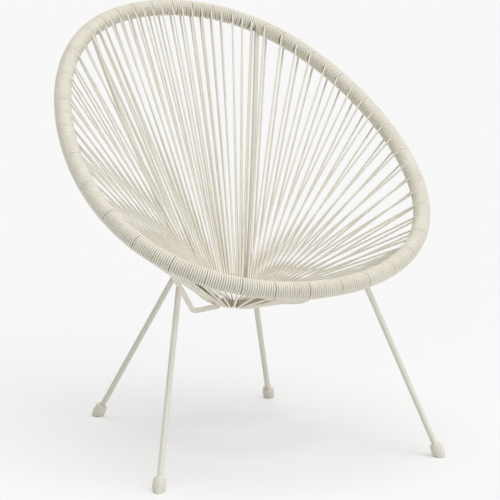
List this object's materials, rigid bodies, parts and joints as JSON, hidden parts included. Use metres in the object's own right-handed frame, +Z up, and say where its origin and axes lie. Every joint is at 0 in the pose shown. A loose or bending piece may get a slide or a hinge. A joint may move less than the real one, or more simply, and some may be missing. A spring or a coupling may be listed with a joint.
{
  "type": "corded lounge chair",
  "caption": "Round lounge chair with an egg-shaped tilted rim, a seat of pale cord strung to a centre hoop, and splayed rod legs with moulded foot caps.",
  "frame": {"origin": "on the floor, under the middle of the chair's overall footprint", "axes": "+Z up, the front of the chair towards -Y, left and right sides mirror images across X"},
  "size_m": [0.7082, 0.7198, 0.8327],
  "materials": {
    "cord": "satin",
    "frame": "satin",
    "foot_cap": "matte"
  },
  "bodies": {
    "root": {"rim_tube": "frame", "centre_hoop": "frame", "front_strut_right": "frame", "front_strut_left": "frame", "back_strut_right": "frame", "back_strut_left": "frame", "front_leg_right": "frame", "front_leg_left": "frame", "rear_leg_right": "frame", "rear_leg_left": "frame", "front_leg_cap_right": "foot_cap", "front_leg_cap_left": "foot_cap", "rear_leg_cap_right": "foot_cap", "rear_leg_cap_left": "foot_cap", "cord_back_1": "cord", "cord_back_2": "cord", "cord_back_3": "cord", "cord_right_1": "cord", "cord_right_2": "cord", "cord_right_3": "cord", "cord_front_1": "cord", "cord_front_2": "cord", "cord_front_3": "cord", "cord_left_1": "cord", "cord_left_2": "cord", "cord_left_3": "cord"}
  },
  "joints": []
}
